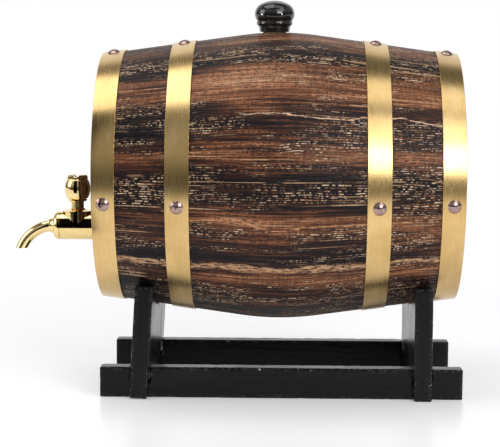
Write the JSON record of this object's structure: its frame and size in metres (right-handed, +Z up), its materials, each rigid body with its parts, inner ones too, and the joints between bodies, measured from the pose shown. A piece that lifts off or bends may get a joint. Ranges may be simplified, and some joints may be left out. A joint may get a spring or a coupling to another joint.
{
  "type": "oak wine barrel on a stand",
  "caption": "Small oak wine barrel with riveted brass hoops, a turned bung on top and a brass tap in one head, lying in a black slotted stand.",
  "frame": {"origin": "on the floor, under the middle of the bounding box of the whole object, stand and tap included", "axes": "+X along the barrel from the tap end to the plain end, +Y from the front to the back, +Z up"},
  "size_m": [0.3558, 0.2276, 0.3069],
  "materials": {
    "oak_stave": "charred and wire-brushed oak, waxed, long grain with pale flecks",
    "oak_head": "charred and brushed oak boards, waxed",
    "dowel_wood": "plain turned beech",
    "cork": "natural cork, granular",
    "black_lacquer": "turned wood in gloss black lacquer",
    "black_stand": "satin black paint over planed wood, worn at the arrises",
    "brass_hoop": "aged brass strip, brushed round the hoop",
    "copper_rivet": "antique copper-plated domes, semi-gloss",
    "gold_tap": "mirror-polished, gold-plated brass",
    "brass_fitting": "machined brass",
    "rubber_seal": "matt black rubber"
  },
  "bodies": {
    "stand": {"front_rail": "black_stand", "back_rail": "black_stand", "tap_end_cradle": "black_stand", "plain_end_cradle": "black_stand"},
    "barrel": {"bung_stave": "oak_stave", "plain_end_hoop": "brass_hoop", "plain_end_hoop_rivets": "copper_rivet", "plain_head_board_1": "oak_head", "plain_head_board_2": "oak_head", "plain_head_board_3": "oak_head", "plain_head_board_4": "oak_head", "plain_head_board_5": "oak_head", "plain_head_dowels": "dowel_wood", "plain_quarter_hoop": "brass_hoop", "plain_quarter_hoop_rivets": "copper_rivet", "stave_02": "oak_stave", "stave_03": "oak_stave", "stave_04": "oak_stave", "stave_05": "oak_stave", "stave_06": "oak_stave", "stave_07": "oak_stave", "stave_08": "oak_stave", "stave_09": "oak_stave", "stave_10": "oak_stave", "stave_11": "oak_stave", "stave_12": "oak_stave", "stave_13": "oak_stave", "stave_14": "oak_stave", "stave_15": "oak_stave", "stave_16": "oak_stave", "tap_body": "gold_tap", "tap_bonnet": "gold_tap", "tap_collar": "gold_tap", "tap_end_hoop": "brass_hoop", "tap_end_hoop_rivets": "copper_rivet", "tap_gasket": "rubber_seal", "tap_head_board_1": "oak_head", "tap_head_board_2": "oak_head", "tap_head_board_3": "oak_head", "tap_head_board_4": "oak_head", "tap_head_board_5": "oak_head", "tap_head_dowels": "dowel_wood", "tap_inner_washer": "brass_fitting", "tap_lock_nut": "brass_fitting", "tap_quarter_hoop": "brass_hoop", "tap_quarter_hoop_rivets": "copper_rivet", "tap_spout": "gold_tap"},
    "bung": {"bung_knob": "black_lacquer", "bung_cork": "cork"},
    "tap_key": {"tap_plug": "brass_fitting", "tap_plug_seals": "rubber_seal", "tap_handle": "gold_tap", "tap_handle_screw": "brass_fitting"}
  },
  "joints": [
    {"name": "barrel_lift", "type": "slide", "parent": "stand", "child": "barrel", "axis": [0, 0, 1], "range_m": [0, 0.12]},
    {"name": "bung_pull", "type": "slide", "parent": "barrel", "child": "bung", "axis": [0, 0, 1], "range_m": [0, 0.05]},
    {"name": "tap_turn", "type": "hinge", "parent": "barrel", "child": "tap_key", "pos_m": [-0.12749, 0, 0.1263], "axis": [0, 0, 1], "range_deg": [0, 90]}
  ]
}
